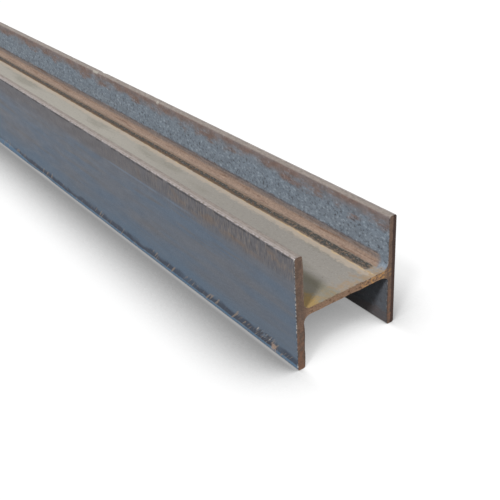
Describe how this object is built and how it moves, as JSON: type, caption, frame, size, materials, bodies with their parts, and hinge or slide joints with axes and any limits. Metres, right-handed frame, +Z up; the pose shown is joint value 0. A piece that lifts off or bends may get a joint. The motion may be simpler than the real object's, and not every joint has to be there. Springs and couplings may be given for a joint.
{
  "type": "steel h-beam",
  "caption": "Hot-rolled wide-flange steel H-beam with square-sawn ends, lying on its flange tips with the web level between the upright flanges.",
  "frame": {"origin": "on the floor, under the middle of the beam: centre of the bottom of the bounding box, level with the lower flange tips", "axes": "+X along the beam's length, +Y across the depth of the section from flange to flange, +Z up along the flange width, square to the web"},
  "size_m": [2, 0.125, 0.125],
  "materials": {
    "rolled_steel": "hot-rolled mill scale with light brown rust, dull"
  },
  "bodies": {
    "root": {"h_beam": "rolled_steel"}
  },
  "joints": []
}
